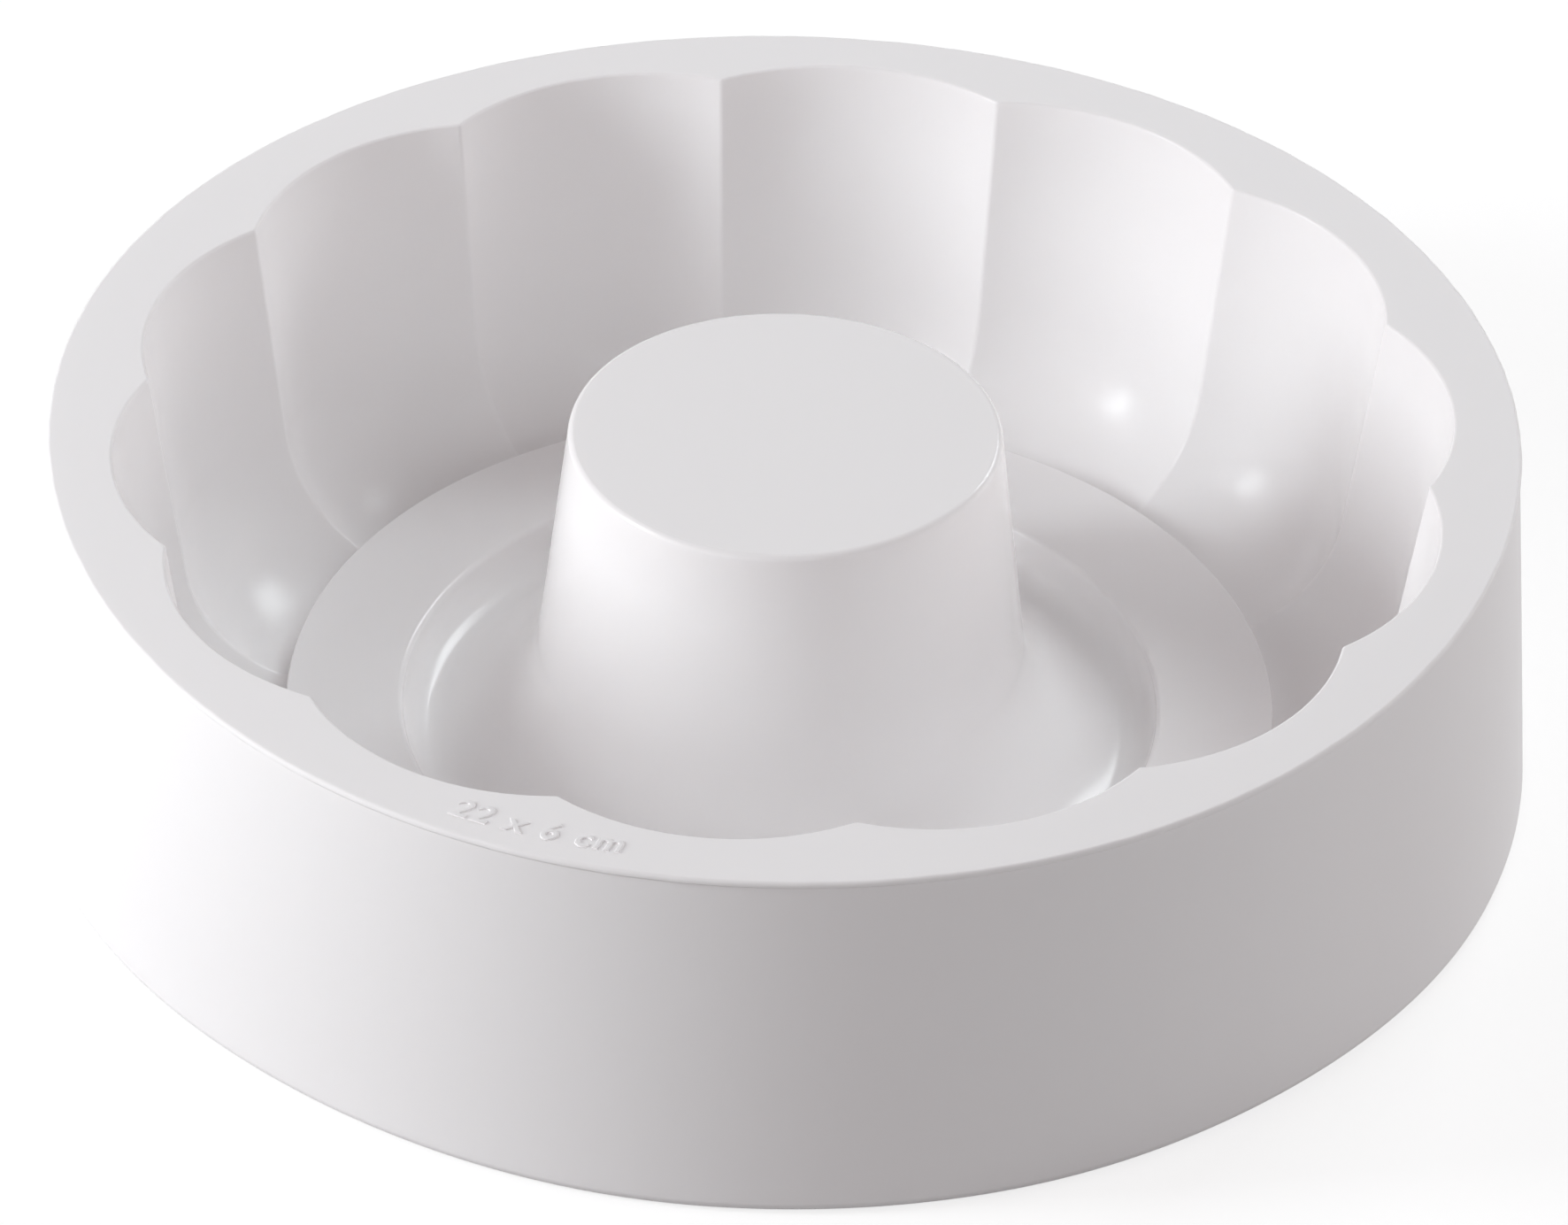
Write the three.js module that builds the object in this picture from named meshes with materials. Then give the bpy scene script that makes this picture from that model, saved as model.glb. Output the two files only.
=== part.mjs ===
import * as THREE from 'three';

// Ring cake mould: one soft silicone moulding with a fluted cavity round a hollow core.
// Lengths are in millimetres and angles in degrees. The mould stands on height 0 with its axis upright.

// Whole moulding
const WALL = 3;                   // every wall, measured square to its face
const CAVITY_DEPTH = 60;          // from the rim down to the lowest line of the floor

// Flutes of the cavity wall
const CAVITY_DIAMETER = 220;      // across two opposite flutes at the rim
const FLUTE_COUNT = 14;
const FLUTE_RADIUS = 41;          // arc of one flute at the rim, seen from above
const FLUTE_DRAFT = 7.7;
const TOE_RADIUS = 23.5;          // sweep from the foot of a flute into the floor

// Rim and outer skirt
const RIM_LAND = 10.3;            // flat rim outside the deepest line of a flute
const RIM_EDGE_RADIUS = 1;
const SKIRT_DRAFT = 3.4;          // the skirt spreads towards its foot
const FOOT_EDGE_RADIUS = 2;

// Raised ring and groove on the floor
const PLATEAU_DIAMETER = 164;
const PLATEAU_WIDTH = 19.3;
const PLATEAU_RISE = 6.5;         // above the lowest line of the floor
const PLATEAU_EDGE_RADIUS = 0.5;  // the rest of the rise is the arc of the groove inside the ring

// Core, level with the rim
const CORE_DIAMETER = 71;         // at the rim's height, before its edge is rounded
const CORE_DRAFT = 6.5;
const CORE_EDGE_RADIUS = 1.1;
const FLOOR_FALL = 13;            // slope at which the flare of the core reaches the groove

// Fineness of the curved faces; steps per flute are even, so that ridges and flute centres fall on them
const STEPS_PER_FLUTE = 6;
const ARC_STEPS = 4;
const TOE_STEPS = 7;

const rad = THREE.MathUtils.degToRad;
const point = (radius, height) => new THREE.Vector2(radius, height);
const ROUND_STEPS = FLUTE_COUNT * STEPS_PER_FLUTE;
const FLUTE_ANGLE = 2 * Math.PI / FLUTE_COUNT;

// Heights
const floorTop = WALL;
const rimTop = floorTop + CAVITY_DEPTH;
const rimUnder = rimTop - WALL;
const plateauTop = floorTop + PLATEAU_RISE;
const plateauUnder = plateauTop - WALL;
const grooveTop = plateauTop - PLATEAU_EDGE_RADIUS;

// Radii about the mould's axis
const cavityRadius = CAVITY_DIAMETER / 2;
const rimRadius = cavityRadius + RIM_LAND;
const plateauOuter = PLATEAU_DIAMETER / 2;
const plateauInner = plateauOuter - PLATEAU_WIDTH;
const grooveRadius = grooveTop - floorTop;
const grooveLine = plateauInner - grooveRadius;
const skirtRadius = (height) => rimRadius + (rimTop - height) * Math.tan(rad(SKIRT_DRAFT));
const coreRadius = (height) => CORE_DIAMETER / 2 + (rimTop - height) * Math.tan(rad(CORE_DRAFT));

// Thickness of a leaning wall, measured level
const skirtWall = WALL / Math.cos(rad(SKIRT_DRAFT));
const coreWall = WALL / Math.cos(rad(CORE_DRAFT));

// Arc of a given radius in the corner of a profile, from the side of one neighbour to the other
function roundedCorner(before, corner, after, radius) {
  const toBefore = before.clone().sub(corner).normalize();
  const toAfter = after.clone().sub(corner).normalize();
  const half = Math.acos(toBefore.dot(toAfter)) / 2;
  const centre = toBefore.clone().add(toAfter).setLength(radius / Math.sin(half)).add(corner);
  const start = toBefore.clone().multiplyScalar(radius / Math.tan(half)).add(corner);
  const turn = Math.sign(toAfter.cross(toBefore)) * (Math.PI - 2 * half);
  const arc = [];
  for (let step = 0; step <= ARC_STEPS; step += 1) {
    arc.push(start.clone().rotateAround(centre, turn * step / ARC_STEPS));
  }
  return arc;
}

// Ring with the same closed profile all the way round
function turned(profile) {
  return new THREE.LatheGeometry([...profile, profile[0]], ROUND_STEPS);
}

// Solid whose closed profile changes as it is carried round the axis, over the whole ring or part of it
function carried(profileAt, startAngle, angle, steps) {
  const wholeRing = steps === ROUND_STEPS;
  const count = wholeRing ? steps : steps + 1;
  const profiles = [];
  const vertices = [];
  for (let step = 0; step < count; step += 1) {
    const turn = startAngle + angle * step / steps;
    const profile = profileAt(turn);
    profiles.push(profile);
    for (const { x, y } of profile) {
      vertices.push(x * Math.sin(turn), y, x * Math.cos(turn));
    }
  }

  const size = profiles[0].length;
  const faces = [];
  for (let step = 0; step < steps; step += 1) {
    const here = step * size;
    const next = ((step + 1) % count) * size;
    for (let i = 0; i < size; i += 1) {
      const j = (i + 1) % size;
      faces.push(here + i, next + i, here + j);
      faces.push(next + j, here + j, next + i);
    }
  }
  if (!wholeRing) {
    const last = steps * size;
    for (const [a, b, c] of THREE.ShapeUtils.triangulateShape(profiles[0], [])) {
      faces.push(a, b, c);
    }
    for (const [a, b, c] of THREE.ShapeUtils.triangulateShape(profiles[steps], [])) {
      faces.push(last + c, last + b, last + a);
    }
  }

  const geometry = new THREE.BufferGeometry();
  geometry.setAttribute('position', new THREE.Float32BufferAttribute(vertices, 3));
  geometry.setIndex(faces);
  geometry.computeVertexNormals();
  return geometry;
}

// A flute is part of an upright cone with a rounded toe, standing on an axis of its own
const fluteCentre = cavityRadius - FLUTE_RADIUS;
const fluteWall = WALL / Math.cos(rad(FLUTE_DRAFT));
const toeHeight = floorTop + TOE_RADIUS;
const coneRadius = (height) => FLUTE_RADIUS - (rimTop - height) * Math.tan(rad(FLUTE_DRAFT));
const toeCentre = coneRadius(toeHeight) - TOE_RADIUS / Math.cos(rad(FLUTE_DRAFT));

// Distance from the mould's axis, where a circle about the flute's axis crosses a direction
function acrossFlute(radius, turn) {
  const aside = fluteCentre * Math.sin(turn);
  return fluteCentre * Math.cos(turn) + Math.sqrt(radius * radius - aside * aside);
}

// One face of a flute in one direction, from under the rim down to the raised ring on the floor
function fluteFace(turn, levelWall, toeRadius) {
  const face = [point(acrossFlute(coneRadius(rimUnder) + levelWall, turn), rimUnder)];
  const reach = Math.hypot(
    plateauOuter * Math.cos(turn) - fluteCentre,
    plateauOuter * Math.sin(turn),
  );
  const first = rad(FLUTE_DRAFT);
  const last = Math.acos(Math.max(0, (reach - toeCentre) / toeRadius));
  for (let step = 0; step < TOE_STEPS; step += 1) {
    const bend = first + (last - first) * step / TOE_STEPS;
    const radius = toeCentre + toeRadius * Math.cos(bend);
    face.push(point(acrossFlute(radius, turn), toeHeight - toeRadius * Math.sin(bend)));
  }
  face.push(point(plateauOuter, toeHeight - toeRadius * Math.sin(last)));
  return face;
}

function fluteProfile(turn) {
  const inside = fluteFace(turn, 0, TOE_RADIUS);
  const outside = fluteFace(turn, fluteWall, TOE_RADIUS + WALL);
  return [...outside.reverse(), ...inside];
}

// Outer wall
const skirtFoot = point(skirtRadius(0), 0);
const skirtHead = point(skirtRadius(rimUnder), rimUnder);
const skirtProfile = [
  point(skirtFoot.x - skirtWall, 0),
  ...roundedCorner(point(0, 0), skirtFoot, skirtHead, FOOT_EDGE_RADIUS),
  skirtHead,
  point(skirtHead.x - skirtWall, rimUnder),
];

// Flat rim, scalloped inside by the tops of the flutes
const rimCorner = point(rimRadius, rimTop);
const rimEdge = roundedCorner(skirtHead, rimCorner, point(0, rimTop), RIM_EDGE_RADIUS);

function rimProfile(turn) {
  const flutesPast = Math.round(turn / FLUTE_ANGLE);
  const fromCentre = turn - flutesPast * FLUTE_ANGLE;
  return [
    point(acrossFlute(coneRadius(rimUnder), fromCentre), rimUnder),
    skirtHead,
    ...rimEdge,
    point(acrossFlute(coneRadius(rimTop), fromCentre), rimTop),
  ];
}

// Raised ring on the floor, hollow underneath
const plateauOuterCorner = point(plateauOuter, plateauTop);
const plateauInnerCorner = point(plateauInner, plateauTop);
const plateauProfile = [
  point(plateauOuter - WALL, 0),
  point(plateauOuter, 0),
  ...roundedCorner(point(plateauOuter, 0), plateauOuterCorner, plateauInnerCorner, PLATEAU_EDGE_RADIUS),
  ...roundedCorner(plateauOuterCorner, plateauInnerCorner, point(plateauInner, 0), PLATEAU_EDGE_RADIUS),
  point(plateauInner + WALL, grooveTop),
  point(plateauInner + WALL, plateauUnder),
  point(plateauOuter - WALL, plateauUnder),
];

// Rounded groove between the raised ring and the core
const grooveCorner = point(plateauInner, floorTop);
const grooveProfile = [
  point(grooveLine, 0),
  point(plateauInner + WALL, 0),
  point(plateauInner + WALL, grooveTop),
  ...roundedCorner(plateauInnerCorner, grooveCorner, point(grooveLine, floorTop), grooveRadius),
];

// Tapered core, flaring at its foot down to the groove
const coreHead = point(coreRadius(rimUnder), rimUnder);
const coreInnerHead = point(coreHead.x - coreWall, rimUnder);

// Place where one face of the core, some way in from its outside, meets the fall to the groove
function footOfCore(inward, grooveHeight) {
  const fall = Math.tan(rad(FLOOR_FALL));
  const lean = Math.tan(rad(CORE_DRAFT));
  const reach = grooveLine - coreRadius(0) + inward;
  const height = (grooveHeight + reach * fall) / (1 - lean * fall);
  return point(coreRadius(height) - inward, height);
}

// Arc that fills that corner and ends on the groove's line
function flare(head, foot, groove) {
  const half = rad(90 + CORE_DRAFT + FLOOR_FALL) / 2;
  return roundedCorner(head, foot, groove, foot.distanceTo(groove) * Math.tan(half));
}

const coreProfile = [
  ...flare(coreInnerHead, footOfCore(coreWall, 0), point(grooveLine, 0)),
  ...flare(coreHead, footOfCore(0, floorTop), point(grooveLine, floorTop)).reverse(),
  coreHead,
  coreInnerHead,
];

// Flat top of the core
const capCorner = point(coreRadius(rimTop), rimTop);
const capProfile = [
  point(0, rimUnder),
  coreHead,
  ...roundedCorner(coreHead, capCorner, point(0, rimTop), CORE_EDGE_RADIUS),
  point(0, rimTop),
];

const silicone = new THREE.MeshStandardMaterial({ color: 0xe9e8e4, roughness: 0.45, metalness: 0 });
const mould = new THREE.Group();
mould.name = 'ring_cake_mould';

// The profiles are turned about the upright Y axis, so the whole mould is tipped to stand on Z
mould.rotation.x = Math.PI / 2;

function addPiece(name, geometry) {
  const piece = new THREE.Mesh(geometry, silicone);
  piece.name = name;
  mould.add(piece);
  return piece;
}

addPiece('outer_skirt', turned(skirtProfile));
addPiece('rim', carried(rimProfile, 0, 2 * Math.PI, ROUND_STEPS));

const flute = carried(fluteProfile, -FLUTE_ANGLE / 2, FLUTE_ANGLE, STEPS_PER_FLUTE);
for (let index = 0; index < FLUTE_COUNT; index += 1) {
  const number = String(index + 1).padStart(2, '0');
  addPiece(`flute_${number}`, flute).rotation.y = index * FLUTE_ANGLE;
}

addPiece('floor_plateau', turned(plateauProfile));
addPiece('floor_groove', turned(grooveProfile));
addPiece('core_wall', turned(coreProfile));
addPiece('core_cap', new THREE.LatheGeometry(capProfile, ROUND_STEPS));

export default mould;
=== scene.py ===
import math

import bmesh
import bpy
from mathutils import Matrix, Vector


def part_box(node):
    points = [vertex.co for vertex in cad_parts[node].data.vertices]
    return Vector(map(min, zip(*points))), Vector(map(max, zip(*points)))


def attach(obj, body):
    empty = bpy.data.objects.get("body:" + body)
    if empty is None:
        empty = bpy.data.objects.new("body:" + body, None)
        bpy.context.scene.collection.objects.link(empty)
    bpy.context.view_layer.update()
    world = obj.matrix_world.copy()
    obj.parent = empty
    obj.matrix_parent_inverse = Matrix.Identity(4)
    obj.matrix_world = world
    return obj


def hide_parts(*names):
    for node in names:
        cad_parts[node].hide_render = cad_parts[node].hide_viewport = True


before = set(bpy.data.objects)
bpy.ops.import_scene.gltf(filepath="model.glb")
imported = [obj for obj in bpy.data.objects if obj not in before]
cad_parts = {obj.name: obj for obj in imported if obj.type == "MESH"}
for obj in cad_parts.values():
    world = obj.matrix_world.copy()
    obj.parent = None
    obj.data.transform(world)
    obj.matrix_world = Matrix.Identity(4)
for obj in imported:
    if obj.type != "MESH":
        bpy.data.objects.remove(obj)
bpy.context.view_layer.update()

# Top of the core: the end of the hollow core, level with the rim and a little out of round.
# The mould is one silicone moulding, so all its walls share one skin, drawn as rings about the axis.
# The skin starts here as a filled circle, and each later ring is extruded from its open edge.
MM = 0.001
STEPS_PER_FLUTE = 24
OUTSIDE = 0
CAVITY = 1
FLUTES = 2
CORE_DRAFT = math.radians(6.5)
CORE_EDGE_RADIUS = 1.1 * MM
CORE_EDGE_STEPS = 8
CORE_SLACK = ((-55, 62, 0.95 * MM), (95, 70, 0.55 * MM))
flute_nodes = sorted(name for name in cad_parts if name.startswith("flute_"))
flute_angle = 2 * math.pi / len(flute_nodes)
cap_low, cap_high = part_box("core_cap")
rim_top = cap_high.z
rim_under = cap_low.z
wall = rim_top - rim_under


def core_radius(height):
    return cap_high.x + (rim_under - height) * math.tan(CORE_DRAFT)


def rounded_corner(before, corner, after, radius, steps):
    """Arc in a corner of the profile, from the side of one neighbour to the other."""
    corner = Vector(corner)
    to_before = (Vector(before) - corner).normalized()
    to_after = (Vector(after) - corner).normalized()
    half = to_before.angle(to_after) / 2
    centre = corner + (to_before + to_after).normalized() * (radius / math.sin(half))
    start = corner + to_before * (radius / math.tan(half)) - centre
    sweep = math.copysign(math.pi - 2 * half, to_after.cross(to_before))
    return [centre + Matrix.Rotation(sweep * step / steps, 2) @ start for step in range(steps + 1)]


def give(direction, places):
    """How far the soft moulding gives way, from places with a direction, a spread and a most."""
    total = 0
    for middle, spread, most in places:
        aside = math.remainder(direction - math.radians(middle), 2 * math.pi) / math.radians(spread)
        if abs(aside) < 1:
            total += most * math.cos(aside * math.pi / 2) ** 2
    return total


def carry_edge(place, finish):
    """Extrude the skin's open edge to a ring; place gives its radius and height in each direction."""
    bpy.ops.mesh.extrude_edges_indiv()
    skin = bmesh.from_edit_mesh(mould.data)
    for vertex in skin.verts:
        if vertex.select:
            outward = vertex.co.xy.normalized()
            radius, height = place(math.atan2(outward.y, outward.x))
            vertex.co = (outward.x * radius, outward.y * radius, height)
    for edge in skin.edges:
        if edge.select:
            for face in edge.link_faces:
                face.material_index = finish
    bmesh.update_edit_mesh(mould.data, loop_triangles=False)


def carry_round(profile, finish):
    """Carry the edge along a profile that is the same all the way round."""
    for radius, height in profile:
        carry_edge(lambda direction: (radius, height), finish)


def carry_core(profile, finish):
    """Carry the edge along the soft core, which is drawn in most at its top."""
    for radius, height in profile:
        share = (height / rim_top) ** 2
        carry_edge(lambda direction: (radius - share * give(direction, CORE_SLACK), height), finish)


core_head = (core_radius(rim_under), rim_under)
cap_corner = (core_radius(rim_top), rim_top)
cap_edge = rounded_corner((0, rim_top), cap_corner, core_head, CORE_EDGE_RADIUS, CORE_EDGE_STEPS)
bpy.ops.object.select_all(action="DESELECT")
bpy.ops.mesh.primitive_circle_add(
    vertices=STEPS_PER_FLUTE * len(flute_nodes),
    radius=cap_edge[0].x / 2,
    fill_type="TRIFAN",
    location=(0, 0, rim_top),
)
mould = bpy.context.object
mould.name = "mould_body"
bpy.ops.object.transform_apply(location=True, rotation=True, scale=True)
bpy.ops.object.mode_set(mode="EDIT")
bpy.ops.mesh.select_mode(type="EDGE")
bpy.ops.mesh.select_all(action="DESELECT")
bpy.ops.mesh.select_non_manifold()
carry_core(cap_edge[:1], OUTSIDE)
carry_core(cap_edge[1:], CAVITY)

# Core: the tapered tube in the middle that gives the cake its hole, of the same silicone.
# It leans for release and flares at its foot in one long sweep that still falls where it meets the groove.
FLOOR_FALL = math.radians(13)
FLARE_STEPS = 18
CORE_STEPS = 5
floor_top = wall
groove_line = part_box("core_wall")[1].x


def flare(head, inward, groove_height, steps):
    """Sweep from a face of the core's wall, some way in from its outside, down to the groove."""
    fall = math.tan(FLOOR_FALL)
    reach = groove_line - core_radius(0) + inward
    foot_height = (groove_height + reach * fall) / (1 - math.tan(CORE_DRAFT) * fall)
    foot = Vector((core_radius(foot_height) - inward, foot_height))
    groove_point = Vector((groove_line, groove_height))
    half = (math.pi / 2 + CORE_DRAFT + FLOOR_FALL) / 2
    return rounded_corner(head, foot, groove_point, (groove_point - foot).length * math.tan(half), steps)


core_flare = flare(core_head, 0, floor_top, FLARE_STEPS)
core_wall = [cap_edge[-1].lerp(core_flare[0], step / CORE_STEPS) for step in range(1, CORE_STEPS)]
carry_core(core_wall + core_flare, CAVITY)

# Groove: the rounded channel on the floor between the core's flare and the raised ring.
# It moulds a bead on the cake, and is the lowest line of the cavity.
GROOVE_UPRIGHT = 0.45 * MM
GROOVE_STEPS = 9
groove_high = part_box("floor_groove")[1]
groove_top = groove_high.z
plateau_inner = groove_high.x - wall
groove_corner = (plateau_inner, floor_top)
groove_radius = groove_top - floor_top - GROOVE_UPRIGHT
groove_start = (groove_line, floor_top)
groove_end = (plateau_inner, groove_top)
groove = rounded_corner(groove_start, groove_corner, groove_end, groove_radius, GROOVE_STEPS)
carry_round(groove[1:], CAVITY)

# Raised ring: the flat step round the floor, rounded over into the groove inside it.
# Its outer edge is sharper, and its outer side runs down into the toes of the flutes.
RING_INNER_EDGE = 0.9 * MM
RING_OUTER_EDGE = 0.35 * MM
INNER_EDGE_STEPS = 6
OUTER_EDGE_STEPS = 4
RING_SHARES = (0.33, 0.67)
plateau_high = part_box("floor_plateau")[1]
plateau_outer = plateau_high.x
plateau_top = plateau_high.z
inner_corner = (plateau_inner, plateau_top)
outer_corner = (plateau_outer, plateau_top)
outer_foot = (plateau_outer, floor_top)
inner_edge = rounded_corner(groove_corner, inner_corner, outer_corner, RING_INNER_EDGE, INNER_EDGE_STEPS)
outer_edge = rounded_corner(inner_corner, outer_corner, outer_foot, RING_OUTER_EDGE, OUTER_EDGE_STEPS)
plateau_flat = [inner_edge[-1].lerp(outer_edge[0], share) for share in RING_SHARES]
carry_round(inner_edge[1:] + plateau_flat + outer_edge, CAVITY)

# Flutes: the hollows of the cavity wall, each part of a cone that sweeps into the floor at its toe.
# Neighbours meet in a ridge that runs from the rim to the raised ring.
CAVITY_RADIUS = 110 * MM
FLUTE_RADIUS = 41 * MM
FLUTE_DRAFT = math.radians(7.7)
TOE_RADIUS = 23.5 * MM
TOE_STEPS = 16
WALL_STEPS = 8
flute_axis = CAVITY_RADIUS - FLUTE_RADIUS
toe_height = floor_top + TOE_RADIUS


def cone_radius(height):
    return FLUTE_RADIUS - (rim_top - height) * math.tan(FLUTE_DRAFT)


toe_centre = cone_radius(toe_height) - TOE_RADIUS / math.cos(FLUTE_DRAFT)
toe_end = toe_height - TOE_RADIUS * math.sin(FLUTE_DRAFT)


def from_flute(direction):
    """Angle between a direction and the middle of the nearest flute; one flute's middle lies on +Y."""
    turn = math.pi / 2 - direction
    return turn - round(turn / flute_angle) * flute_angle


def across_flute(radius, direction):
    """Distance from the mould's axis to a circle about the flute's own axis."""
    turn = from_flute(direction)
    aside = flute_axis * math.sin(turn)
    return flute_axis * math.cos(turn) + math.sqrt(radius * radius - aside * aside)


def on_toe(direction, radius, share):
    """Place on a toe, from the raised ring at share 0 to the flute's straight wall at share 1."""
    turn = from_flute(direction)
    reach = math.hypot(plateau_outer * math.cos(turn) - flute_axis, plateau_outer * math.sin(turn))
    first_bend = math.acos((reach - toe_centre) / radius)
    bend = first_bend + (FLUTE_DRAFT - first_bend) * share
    toe_radius = toe_centre + radius * math.cos(bend)
    return across_flute(toe_radius, direction), toe_height - radius * math.sin(bend)


for step in range(TOE_STEPS + 1):
    carry_edge(lambda direction: on_toe(direction, TOE_RADIUS, step / TOE_STEPS), FLUTES)
for step in range(1, WALL_STEPS + 1):
    height = toe_end + (rim_top - toe_end) * step / WALL_STEPS
    carry_edge(lambda direction: (across_flute(cone_radius(height), direction), height), FLUTES)

# Rim: the broad flat band round the cavity, scalloped inside by the tops of the flutes.
# Its outer edge stands a hair proud of the skirt, where the halves of the tool met, and is not quite even.
# The soft moulding is also a little three-cornered, drawn in between its corners.
SKIRT_DRAFT = math.radians(3.4)
RIM_EDGE_RADIUS = 0.6 * MM
RIM_EDGE_STEPS = 6
RIM_SHARES = (0.34, 0.67)
LIP_REACH = 0.35 * MM
LIP_HEIGHT = 0.9 * MM
LIP_STEPS = 3
LIP_WAVER = 0.09 * MM
LIP_WAVES = (31, 53, 83, 127)
RIM_SLACK = ((100, 62, 1.8 * MM), (-150, 50, 1.3 * MM), (-22, 44, 1.0 * MM))
rim_low, rim_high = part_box("rim")


def skirt_radius(height):
    return rim_high.x + (rim_low.z - height) * math.tan(SKIRT_DRAFT)


def uneven(direction):
    """How far the lip strays in a direction, from short waves that never fall into step."""
    waves = [math.sin(count * direction + count) for count in LIP_WAVES]
    return LIP_WAVER * sum(waves) / len(waves)


def carry_lip(profile):
    """Carry the edge along the lip's profile, which strays a little as it goes round."""
    for radius, height in profile:
        carry_edge(
            lambda direction: (radius + uneven(direction) - give(direction, RIM_SLACK), height),
            OUTSIDE,
        )


lip_under = rim_top - LIP_HEIGHT
lip_radius = skirt_radius(rim_top) + LIP_REACH
lip_foot = (lip_radius, lip_under)
skirt_head = (skirt_radius(lip_under - LIP_REACH), lip_under - LIP_REACH)
rim_edge = rounded_corner((0, rim_top), (lip_radius, rim_top), lip_foot, RIM_EDGE_RADIUS, RIM_EDGE_STEPS)
lip_edge = rounded_corner((lip_radius, rim_top), lip_foot, skirt_head, LIP_REACH / 3, LIP_STEPS)
for share in RIM_SHARES:
    carry_edge(
        lambda direction: (
            across_flute(FLUTE_RADIUS, direction) * (1 - share)
            + (rim_edge[0].x - give(direction, RIM_SLACK)) * share,
            rim_top,
        ),
        OUTSIDE,
    )
carry_lip(rim_edge + lip_edge)

# Skirt: the plain outer wall that carries the rim and stands on the table.
# It spreads towards its rounded foot, is hollow behind, and follows the soft rim above it.
FOOT_EDGE_RADIUS = 2.0 * MM
FOOT_EDGE_STEPS = 7
SLACK_FADE = 1.5
SKIRT_STEPS = 8
FOOT_SLACK = ((-122, 34, 1.3 * MM), (-42, 26, 0.8 * MM), (70, 40, 0.9 * MM))
skirt_foot = (skirt_radius(0), 0)


def slack(direction, height):
    """How far the skirt is drawn in, between its foot and the rim."""
    rise = max(height, 0) / rim_top
    at_foot = give(direction, FOOT_SLACK) * (1 - rise) ** SLACK_FADE
    at_rim = give(direction, RIM_SLACK) * rise ** SLACK_FADE
    return at_foot + at_rim


def skirt_between(start, end):
    """Even points down or up a face of the skirt, between the arcs at its ends."""
    return [start.lerp(end, step / SKIRT_STEPS) for step in range(1, SKIRT_STEPS)]


def carry_skirt(profile):
    """Carry the edge along a profile of the soft skirt."""
    for radius, height in profile:
        carry_edge(lambda direction: (radius - slack(direction, height), height), OUTSIDE)


skirt_edge = rounded_corner(lip_foot, skirt_head, skirt_foot, LIP_REACH / 2, LIP_STEPS)
foot_edge = rounded_corner(skirt_head, skirt_foot, (0, 0), FOOT_EDGE_RADIUS, FOOT_EDGE_STEPS)
skirt_wall = skirt_between(skirt_edge[-1], foot_edge[0])
carry_skirt(skirt_edge + skirt_wall + foot_edge)

# Underside: the backs of the same walls, open to the table, one wall's thickness behind the skin.
# Skirt, rim, flutes, floor and core follow each other inwards to the closed top of the core.
INNER_FOOT_RADIUS = 0.7 * MM
INNER_FOOT_STEPS = 4
UNDER_RIM_RADIUS = 2.0 * MM
UNDER_RIM_STEPS = 5
FLUTE_BACK_STEPS = 5
TOE_BACK_STEPS = 12
UNDER_FLARE_STEPS = 14
LEG_CHAMFER = 1.0 * MM
MERGE_DISTANCE = 0.002 * MM
level_skirt = wall / math.cos(SKIRT_DRAFT)
inner_foot = (skirt_foot[0] - level_skirt, 0)
inner_head = (skirt_radius(rim_under) - level_skirt, rim_under)
inner_foot_edge = rounded_corner(skirt_foot, inner_foot, inner_head, INNER_FOOT_RADIUS, INNER_FOOT_STEPS)
inner_head_edge = rounded_corner(
    inner_foot, inner_head, (0, rim_under), UNDER_RIM_RADIUS, UNDER_RIM_STEPS
)
inner_wall = skirt_between(inner_foot_edge[-1], inner_head_edge[0])
carry_skirt(inner_foot_edge + inner_wall + inner_head_edge)

level_flute = wall / math.cos(FLUTE_DRAFT)
back_toe_end = toe_height - (TOE_RADIUS + wall) * math.sin(FLUTE_DRAFT)
for step in range(FLUTE_BACK_STEPS):
    height = rim_under + (back_toe_end - rim_under) * step / FLUTE_BACK_STEPS
    radius = cone_radius(height) + level_flute
    carry_edge(lambda direction: (across_flute(radius, direction), height), OUTSIDE)
for step in range(TOE_BACK_STEPS + 1):
    carry_edge(lambda direction: on_toe(direction, TOE_RADIUS + wall, 1 - step / TOE_BACK_STEPS), OUTSIDE)

plateau_under = plateau_top - wall
level_core = wall / math.cos(CORE_DRAFT)
core_inner_head = (core_head[0] - level_core, rim_under)
under_floor = [
    (plateau_outer - LEG_CHAMFER, 0),
    (plateau_outer - wall, 0),
    (plateau_outer - wall, plateau_under),
    (plateau_inner + wall, plateau_under),
    (plateau_inner + wall, 0),
]
under_flare = flare(core_inner_head, level_core, 0, UNDER_FLARE_STEPS)[::-1]
under_cap = rounded_corner(
    under_flare[-1], core_inner_head, (0, rim_under), UNDER_RIM_RADIUS, UNDER_RIM_STEPS
)
carry_round(under_floor + under_flare + under_cap, OUTSIDE)
bpy.ops.mesh.edge_face_add()
bpy.ops.mesh.select_all(action="SELECT")
bpy.ops.mesh.remove_doubles(threshold=MERGE_DISTANCE)
bpy.ops.mesh.normals_make_consistent(inside=False)
bpy.ops.object.mode_set(mode="OBJECT")

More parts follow.
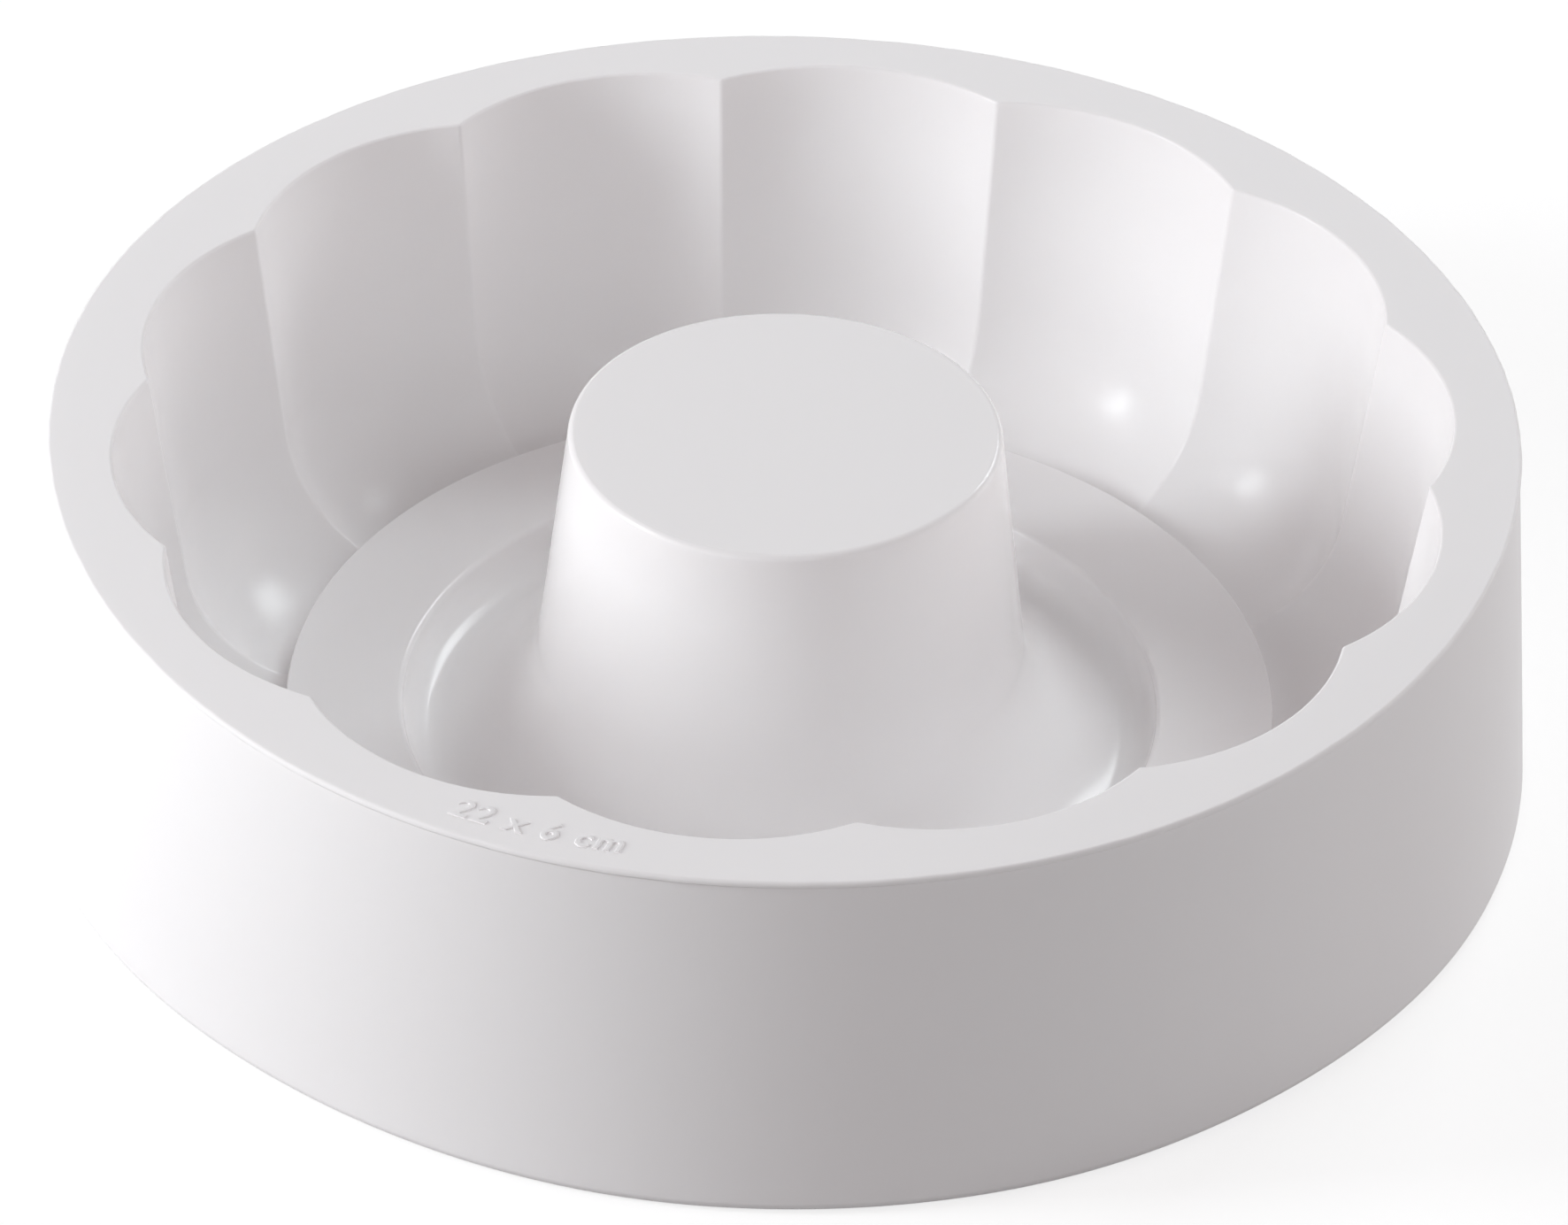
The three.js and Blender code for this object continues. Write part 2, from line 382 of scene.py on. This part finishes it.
# Set of the soft walls: silicone takes a slight set in use. In this mould all that lies inside the rim
# is a little tight and sits to one side, and some flutes have crept round by a fraction of a degree.
CAVITY_ASIDE = Vector((0.33, 0.03)) * MM
CAVITY_TIGHT = 0.0025
FLUTE_CREEP = ((62, 44, math.radians(-0.45)),)
rim_width = skirt_radius(rim_top) - CAVITY_RADIUS
for vertex in mould.data.vertices:
    level = vertex.co.xy
    share = min(max((skirt_radius(rim_top) - level.length) / rim_width, 0), 1)
    creep = Matrix.Rotation(give(math.atan2(level.y, level.x), FLUTE_CREEP) * share, 2)
    vertex.co.xy = creep @ level * (1 - CAVITY_TIGHT * share) + CAVITY_ASIDE * share

# Moulded edges: the ridges, the rim's inner edge and the foot of the raised ring come out of the tool
# with a small soft radius, and the faces beside them stay true.
EDGE_WIDTH = 0.5 * MM
EDGE_SEGMENTS = 3
EDGE_ANGLE = math.radians(28)
bpy.ops.object.modifier_add(type="BEVEL")
soft_edges = mould.modifiers[-1]
soft_edges.width = EDGE_WIDTH
soft_edges.segments = EDGE_SEGMENTS
soft_edges.limit_method = "ANGLE"
soft_edges.angle_limit = EDGE_ANGLE
bpy.ops.object.modifier_apply(modifier=soft_edges.name)
bpy.ops.object.shade_smooth()
bpy.ops.object.modifier_add(type="WEIGHTED_NORMAL")
true_faces = mould.modifiers[-1]
true_faces.weight = 50
bpy.ops.object.modifier_apply(modifier=true_faces.name)

# Silicone: white pigmented rubber, matt outside and glossier where the polished part of the tool forms
# the cavity, with the flutes a shade more satin than the floor and core. A fine grain from the tool and
# faint handling marks break up its sheen.
SILICONE_WHITE = (0.966, 0.951, 0.953, 1)
SILICONE_SHADE = (0.954, 0.939, 0.941, 1)
surface = bpy.data.node_groups.new("silicone_surface", "ShaderNodeTree")
surface.interface.new_socket("Grain Scale", in_out="INPUT", socket_type="NodeSocketFloat")
surface.interface.new_socket("Mark Scale", in_out="INPUT", socket_type="NodeSocketFloat")
surface.interface.new_socket("Grain", in_out="OUTPUT", socket_type="NodeSocketFloat")
surface.interface.new_socket("Marks", in_out="OUTPUT", socket_type="NodeSocketFloat")
surface.interface.new_socket("Tone", in_out="OUTPUT", socket_type="NodeSocketFloat")
group_in = surface.nodes.new("NodeGroupInput")
group_out = surface.nodes.new("NodeGroupOutput")
place = surface.nodes.new("ShaderNodeTexCoord")
grain = surface.nodes.new("ShaderNodeTexNoise")
grain.inputs["Detail"].default_value = 3
grain.inputs["Roughness"].default_value = 0.6
marks = surface.nodes.new("ShaderNodeTexNoise")
marks.inputs["Detail"].default_value = 5
marks.inputs["Roughness"].default_value = 0.65
marks.inputs["Distortion"].default_value = 0.6
tone = surface.nodes.new("ShaderNodeTexNoise")
tone.inputs["Scale"].default_value = 11
tone.inputs["Detail"].default_value = 2
surface.links.new(place.outputs["Object"], grain.inputs["Vector"])
surface.links.new(place.outputs["Object"], marks.inputs["Vector"])
surface.links.new(place.outputs["Object"], tone.inputs["Vector"])
surface.links.new(group_in.outputs["Grain Scale"], grain.inputs["Scale"])
surface.links.new(group_in.outputs["Mark Scale"], marks.inputs["Scale"])
surface.links.new(grain.outputs["Fac"], group_out.inputs["Grain"])
surface.links.new(marks.outputs["Fac"], group_out.inputs["Marks"])
surface.links.new(tone.outputs["Fac"], group_out.inputs["Tone"])


def silicone(name, grain_scale, grain_depth, mark_scale, smooth, rough, gloss):
    """Silicone with its own grain; its roughness wanders between smooth and rough."""
    material = bpy.data.materials.new(name)
    material.use_nodes = True
    nodes = material.node_tree.nodes
    links = material.node_tree.links
    shader = nodes["Principled BSDF"]
    shader.inputs["IOR"].default_value = 1.41
    shader.inputs["Specular IOR Level"].default_value = gloss
    shader.inputs["Subsurface Weight"].default_value = 0.1
    shader.inputs["Subsurface Radius"].default_value = (0.003, 0.0028, 0.0026)
    shader.inputs["Subsurface Scale"].default_value = 1
    skin = nodes.new("ShaderNodeGroup")
    skin.node_tree = surface
    skin.inputs["Grain Scale"].default_value = grain_scale
    skin.inputs["Mark Scale"].default_value = mark_scale
    colour = nodes.new("ShaderNodeMix")
    colour.data_type = "RGBA"
    colour.inputs["A"].default_value = SILICONE_SHADE
    colour.inputs["B"].default_value = SILICONE_WHITE
    sheen = nodes.new("ShaderNodeMapRange")
    sheen.inputs["From Min"].default_value = 0.3
    sheen.inputs["From Max"].default_value = 0.7
    sheen.inputs["To Min"].default_value = smooth
    sheen.inputs["To Max"].default_value = rough
    bump = nodes.new("ShaderNodeBump")
    bump.inputs["Strength"].default_value = 1
    bump.inputs["Distance"].default_value = grain_depth
    links.new(skin.outputs["Tone"], colour.inputs["Factor"])
    links.new(skin.outputs["Marks"], sheen.inputs["Value"])
    links.new(skin.outputs["Grain"], bump.inputs["Height"])
    links.new(colour.outputs["Result"], shader.inputs["Base Color"])
    links.new(sheen.outputs["Result"], shader.inputs["Roughness"])
    links.new(bump.outputs["Normal"], shader.inputs["Normal"])
    return material


outside_finish = silicone(
    "silicone_outside",
    grain_scale=1800,
    grain_depth=0.012 * MM,
    mark_scale=45,
    smooth=0.5,
    rough=0.56,
    gloss=0.3,
)
cavity_finish = silicone(
    "silicone_cavity",
    grain_scale=2400,
    grain_depth=0.003 * MM,
    mark_scale=60,
    smooth=0.16,
    rough=0.19,
    gloss=0.28,
)
flute_finish = silicone(
    "silicone_flutes",
    grain_scale=2400,
    grain_depth=0.003 * MM,
    mark_scale=60,
    smooth=0.23,
    rough=0.255,
    gloss=0.28,
)
for finish in (outside_finish, cavity_finish, flute_finish):
    mould.data.materials.append(finish)
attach(mould, "root")
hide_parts("outer_skirt", "rim", "floor_plateau", "floor_groove", "core_wall", "core_cap")
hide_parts(*flute_nodes)

# Size mark: plain raised figures on the front of the rim, moulded with it, for the cavity's width and depth.
# They are cut from text, bent along the rim, and rooted a little below its face.
MARK_LETTER = 6.2 * MM
MARK_RELIEF = 0.25 * MM
MARK_ROOT = 0.15 * MM
MARK_EDGE = 0.12 * MM
MARK_RADIUS = 116.3 * MM
MARK_DIRECTION = math.radians(-102.7)
MARK_SPACING = 1.15
MARK_SLANT = 0.15
MARK_SMOOTH_ANGLE = math.radians(40)
bpy.ops.object.select_all(action="DESELECT")
bpy.ops.object.text_add()
mark = bpy.context.object
mark.name = "size_mark"
mark.data.body = "22 x 6 cm"
mark.data.size = MARK_LETTER
mark.data.space_character = MARK_SPACING
mark.data.shear = MARK_SLANT
mark.data.align_x = "CENTER"
mark.data.extrude = (MARK_RELIEF + MARK_ROOT) / 2 - MARK_EDGE
mark.data.bevel_depth = MARK_EDGE
mark.data.bevel_resolution = 2
mark.data.resolution_u = 6
bpy.ops.object.convert(target="MESH")
for vertex in mark.data.vertices:
    direction = MARK_DIRECTION + vertex.co.x / MARK_RADIUS
    radius = MARK_RADIUS - vertex.co.y
    height = rim_top + (MARK_RELIEF - MARK_ROOT) / 2 + vertex.co.z
    vertex.co = (radius * math.cos(direction), radius * math.sin(direction), height)
bpy.ops.object.mode_set(mode="EDIT")
bpy.ops.mesh.select_all(action="SELECT")
bpy.ops.mesh.remove_doubles(threshold=MERGE_DISTANCE)
bpy.ops.mesh.normals_make_consistent(inside=False)
bpy.ops.object.mode_set(mode="OBJECT")
bpy.ops.object.shade_smooth_by_angle(angle=MARK_SMOOTH_ANGLE)
mark.data.materials.clear()
mark.data.materials.append(outside_finish)
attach(mark, "root")

# Table: a plain white top under the mould. The camera sees it lightened to white, with the shadow kept,
# and quite white farther off, where the lamps no longer reach it.
TABLE_WIDTH = 6.0
TABLE_BOUNCE = (0.5, 0.5, 0.5, 1)
TABLE_SHADE = (0.38, 0.38, 0.38, 1)
TABLE_LIFT = 0.72
WHITE = (1, 1, 1, 1)
SHADOW_REACH = 0.4
WHITE_FROM = 1.0


def seen_directly(nodes, links, factor):
    """Drive a mix by whether a ray comes straight from the camera, or by way of a gloss or glass."""
    ray = nodes.new("ShaderNodeLightPath")
    gloss = nodes.new("ShaderNodeMath")
    gloss.operation = "MAXIMUM"
    direct = nodes.new("ShaderNodeMath")
    direct.operation = "MAXIMUM"
    links.new(ray.outputs["Is Glossy Ray"], gloss.inputs[0])
    links.new(ray.outputs["Is Transmission Ray"], gloss.inputs[1])
    links.new(ray.outputs["Is Camera Ray"], direct.inputs[0])
    links.new(gloss.outputs["Value"], direct.inputs[1])
    links.new(direct.outputs["Value"], factor)


bpy.ops.object.select_all(action="DESELECT")
bpy.ops.mesh.primitive_plane_add(size=TABLE_WIDTH, location=(0, 0, 0))
table = bpy.context.object
table.name = "table_top"
table_paint = bpy.data.materials.new("table_white")
table_paint.use_nodes = True
nodes = table_paint.node_tree.nodes
links = table_paint.node_tree.links
nodes.remove(nodes["Principled BSDF"])
bounce = nodes.new("ShaderNodeBsdfDiffuse")
bounce.inputs["Color"].default_value = TABLE_BOUNCE
shadow = nodes.new("ShaderNodeBsdfDiffuse")
shadow.inputs["Color"].default_value = TABLE_SHADE
lift = nodes.new("ShaderNodeEmission")
lift.inputs["Color"].default_value = WHITE
lift.inputs["Strength"].default_value = TABLE_LIFT
seen = nodes.new("ShaderNodeAddShader")
white = nodes.new("ShaderNodeEmission")
white.inputs["Color"].default_value = WHITE
white.inputs["Strength"].default_value = 1
place = nodes.new("ShaderNodeTexCoord")
distance = nodes.new("ShaderNodeVectorMath")
distance.operation = "LENGTH"
farther = nodes.new("ShaderNodeMapRange")
farther.inputs["From Min"].default_value = SHADOW_REACH
farther.inputs["From Max"].default_value = WHITE_FROM
fade = nodes.new("ShaderNodeMixShader")
choose = nodes.new("ShaderNodeMixShader")
seen_directly(nodes, links, choose.inputs["Fac"])
links.new(shadow.outputs["BSDF"], seen.inputs[0])
links.new(lift.outputs["Emission"], seen.inputs[1])
links.new(bounce.outputs["BSDF"], choose.inputs[1])
links.new(place.outputs["Object"], distance.inputs[0])
links.new(distance.outputs["Value"], farther.inputs["Value"])
links.new(farther.outputs["Result"], fade.inputs["Fac"])
links.new(seen.outputs["Shader"], fade.inputs[1])
links.new(white.outputs["Emission"], fade.inputs[2])
links.new(fade.outputs["Shader"], choose.inputs[2])
links.new(choose.outputs["Shader"], nodes["Material Output"].inputs["Surface"])
table.data.materials.append(table_paint)

# Studio light: a narrow cool soft box on the left in front of a wide screen, a small box high behind on
# the right, a long screen low on the right, a faint fill above the front, and the white room's warmer light.
ROOM_LIGHT = 0.165
ROOM_TINT = (1, 0.82, 0.82, 1)
COOL = (0.91, 0.98, 1)
PLAIN = (1, 0.98, 0.985)
WARM = (1, 0.952, 0.965)
room = bpy.data.worlds.new("white_room")
bpy.context.scene.world = room
room.use_nodes = True
nodes = room.node_tree.nodes
links = room.node_tree.links
nodes["Background"].inputs["Color"].default_value = ROOM_TINT
nodes["Background"].inputs["Strength"].default_value = ROOM_LIGHT
backdrop = nodes.new("ShaderNodeBackground")
backdrop.inputs["Color"].default_value = WHITE
backdrop.inputs["Strength"].default_value = 1
choose = nodes.new("ShaderNodeMixShader")
seen_directly(nodes, links, choose.inputs["Fac"])
links.new(nodes["Background"].outputs["Background"], choose.inputs[1])
links.new(backdrop.outputs["Background"], choose.inputs[2])
links.new(choose.outputs["Shader"], nodes["World Output"].inputs["Surface"])


def soft_box(name, direction, rise, distance, width, height, power, tint):
    """Rectangular lamp that faces the mould from a compass direction and a rise, both in degrees."""
    turn = math.radians(direction)
    lift = math.radians(rise)
    level = distance * math.cos(lift)
    spot = Vector((level * math.cos(turn), level * math.sin(turn), distance * math.sin(lift)))
    bpy.ops.object.light_add(type="AREA", location=spot, rotation=spot.to_track_quat("Z", "Y").to_euler())
    lamp = bpy.context.object
    lamp.name = name
    lamp.data.shape = "RECTANGLE"
    lamp.data.size = width
    lamp.data.size_y = height
    lamp.data.energy = power
    lamp.data.color = tint


soft_box(
    "left_soft_box", direction=-162.5, rise=25, distance=0.95,
    width=0.16, height=0.46, power=4.2, tint=COOL,
)
soft_box(
    "left_screen", direction=-157, rise=24, distance=1.5,
    width=1.2, height=1.2, power=8.4, tint=WARM,
)
soft_box(
    "back_soft_box", direction=65, rise=39.8, distance=1.0,
    width=0.4, height=0.2, power=2.95, tint=COOL,
)
soft_box(
    "right_screen", direction=7, rise=15, distance=1.5,
    width=2.0, height=0.5, power=6.6, tint=PLAIN,
)
soft_box(
    "front_fill", direction=-58, rise=45, distance=1.5,
    width=1.2, height=0.6, power=2.9, tint=COOL,
)

# Camera: a long lens above the front of the mould, as for a catalogue picture.
# It looks down at the middle of the mould and is rolled by about a degree.
CAMERA_DIRECTION = math.radians(-83.886)
CAMERA_RISE = math.radians(36.05)
CAMERA_ROLL = math.radians(1.28)
CAMERA_DISTANCE = 1.7815
CAMERA_AIM = Vector((0.0009, -0.0015, 0.0279))
CAMERA_SENSOR = 36
CAMERA_LENS = 248.3
CAMERA_SIGHT = 50
turned = Matrix.Rotation(CAMERA_DIRECTION + math.pi / 2, 3, "Z")
tipped = Matrix.Rotation(math.pi / 2 - CAMERA_RISE, 3, "X")
rolled = Matrix.Rotation(CAMERA_ROLL, 3, "Z")
facing = turned @ tipped @ rolled
bpy.ops.object.camera_add(
    location=CAMERA_AIM + facing @ Vector((0, 0, CAMERA_DISTANCE)),
    rotation=facing.to_euler(),
)
camera = bpy.context.object
camera.data.sensor_width = CAMERA_SENSOR
camera.data.lens = CAMERA_LENS
camera.data.clip_end = CAMERA_SIGHT
bpy.context.scene.camera = camera
bpy.context.scene.view_settings.view_transform = "Standard"
